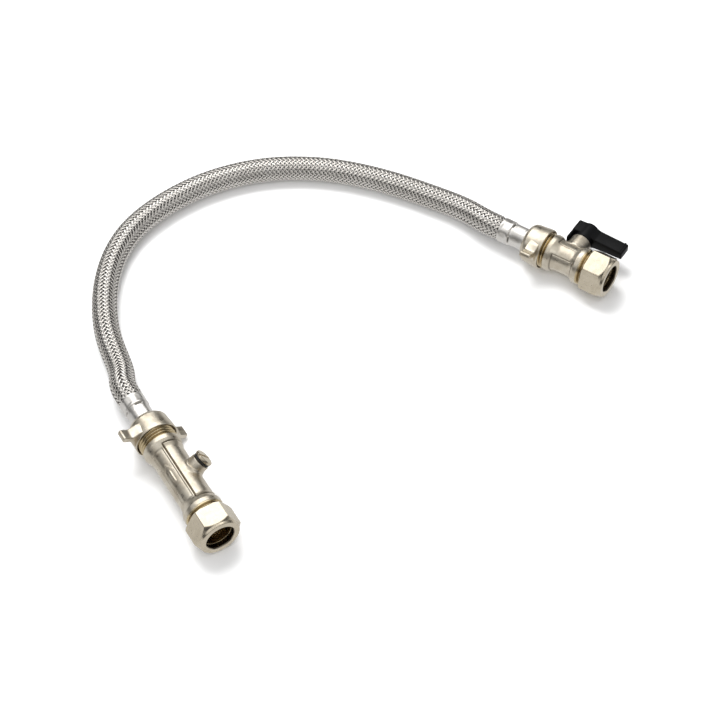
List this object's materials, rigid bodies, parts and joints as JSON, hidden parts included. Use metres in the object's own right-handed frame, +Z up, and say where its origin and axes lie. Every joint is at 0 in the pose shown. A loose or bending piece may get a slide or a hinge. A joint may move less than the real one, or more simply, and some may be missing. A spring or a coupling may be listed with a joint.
{
  "type": "heating filling loop",
  "caption": "Braided hose with a double check valve on one end and a lever isolating valve on the other, with compression ends for pipe, winged union nuts and a test point.",
  "frame": {"origin": "on the surface the loop lies on, under the middle of all but the hose", "axes": "+Z up; the check valve bore runs along Y with its pipe end towards -Y, and the lever valve is on the +X side"},
  "size_m": [0.3104, 0.2343, 0.0261],
  "materials": {
    "nickel": "satin nickel plate on cast brass",
    "brass": "machined",
    "steel": "bright",
    "braid": "rubber hose in a woven stainless steel braid",
    "rubber": "satin",
    "fibre": "pressed fibre",
    "ptfe": "waxy white",
    "acetal": "natural",
    "black": "satin black"
  },
  "bodies": {
    "loop": {"check_valve_body": "nickel", "inlet_check_cage": "acetal", "inlet_cage_o_ring": "rubber", "inlet_check_spring": "steel", "outlet_check_cage": "acetal", "outlet_cage_o_ring": "rubber", "outlet_check_spring": "steel", "inlet_retaining_ring": "steel", "outlet_retaining_ring": "steel", "check_side_union_washer": "fibre", "check_side_hose_tail": "brass", "check_side_ferrule": "steel", "isolating_valve_body": "nickel", "pipe_side_ball_seat": "ptfe", "hose_side_ball_seat": "ptfe", "seat_retainer": "brass", "lever_side_union_washer": "fibre", "lever_side_hose_tail": "brass", "lever_side_ferrule": "steel", "braided_hose": "braid"},
    "inlet_poppet": {"inlet_check_poppet": "acetal", "inlet_poppet_seal": "rubber"},
    "outlet_poppet": {"outlet_check_poppet": "acetal", "outlet_poppet_seal": "rubber"},
    "test_ring": {"test_plug_o_ring": "rubber"},
    "test_plug": {"test_plug": "nickel"},
    "check_olive": {"check_side_olive": "brass"},
    "check_nut": {"check_side_compression_nut": "nickel"},
    "lever_olive": {"lever_side_olive": "brass"},
    "lever_nut": {"lever_side_compression_nut": "nickel"},
    "check_wing": {"check_side_wing_nut": "nickel"},
    "lever_wing": {"lever_side_wing_nut": "nickel"},
    "lever": {"lever_handle": "black", "lever_screw": "steel", "valve_stem": "brass", "valve_ball": "steel", "inner_stem_o_ring": "rubber", "outer_stem_o_ring": "rubber"}
  },
  "joints": [
    {"name": "lever_turn", "type": "hinge", "parent": "loop", "child": "lever", "pos_m": [0.13883, 0.01886, 0.01246], "axis": [-0.9103, -0.4139, 0], "range_deg": [0, 90]},
    {"name": "check_wing_turn", "type": "hinge", "parent": "loop", "child": "check_wing", "pos_m": [-0.13745, 0.02447, 0.01201], "axis": [0, 1, 0], "continuous": true},
    {"name": "lever_wing_turn", "type": "hinge", "parent": "loop", "child": "lever_wing", "pos_m": [0.11239, 0.02869, 0.01188], "axis": [-0.4137, 0.9099, -0.029], "continuous": true},
    {"name": "check_olive_slide", "type": "slide", "parent": "loop", "child": "check_olive", "axis": [0, -1, 0], "range_m": [0, 0.00544]},
    {"name": "check_nut_turn", "type": "hinge", "parent": "check_olive", "child": "check_nut", "pos_m": [-0.13745, -0.04653, 0.01201], "axis": [0, -1, 0], "range_deg": [0, 1080]},
    {"name": "lever_olive_slide", "type": "slide", "parent": "loop", "child": "lever_olive", "axis": [0.4137, -0.9099, 0.029], "range_m": [0, 0.00544]},
    {"name": "lever_nut_turn", "type": "hinge", "parent": "lever_olive", "child": "lever_nut", "pos_m": [0.12956, -0.00907, 0.01309], "axis": [0.4137, -0.9099, 0.029], "range_deg": [0, 1080]},
    {"name": "test_ring_slide", "type": "slide", "parent": "loop", "child": "test_ring", "axis": [0.829, 0, 0.5592], "range_m": [0, 0.003]},
    {"name": "test_plug_turn", "type": "hinge", "parent": "test_ring", "child": "test_plug", "pos_m": [-0.12585, -0.01058, 0.01984], "axis": [0.829, 0, 0.5592], "range_deg": [0, 1080]},
    {"name": "inlet_poppet_slide", "type": "slide", "parent": "loop", "child": "inlet_poppet", "axis": [0, 1, 0], "range_m": [0, 0.0026], "stiffness_N_per_m": 80, "springref_m": -0.002, "deforming": ["inlet_check_spring"]},
    {"name": "outlet_poppet_slide", "type": "slide", "parent": "loop", "child": "outlet_poppet", "axis": [0, 1, 0], "range_m": [0, 0.0026], "stiffness_N_per_m": 80, "springref_m": -0.002, "deforming": ["outlet_check_spring"]}
  ],
  "couplings": [
    {"joint": "check_nut_turn", "follows": "check_olive_slide", "rad_per_m": 3463.7},
    {"joint": "lever_nut_turn", "follows": "lever_olive_slide", "rad_per_m": 3463.7},
    {"joint": "test_plug_turn", "follows": "test_ring_slide", "rad_per_m": 6283.2}
  ]
}
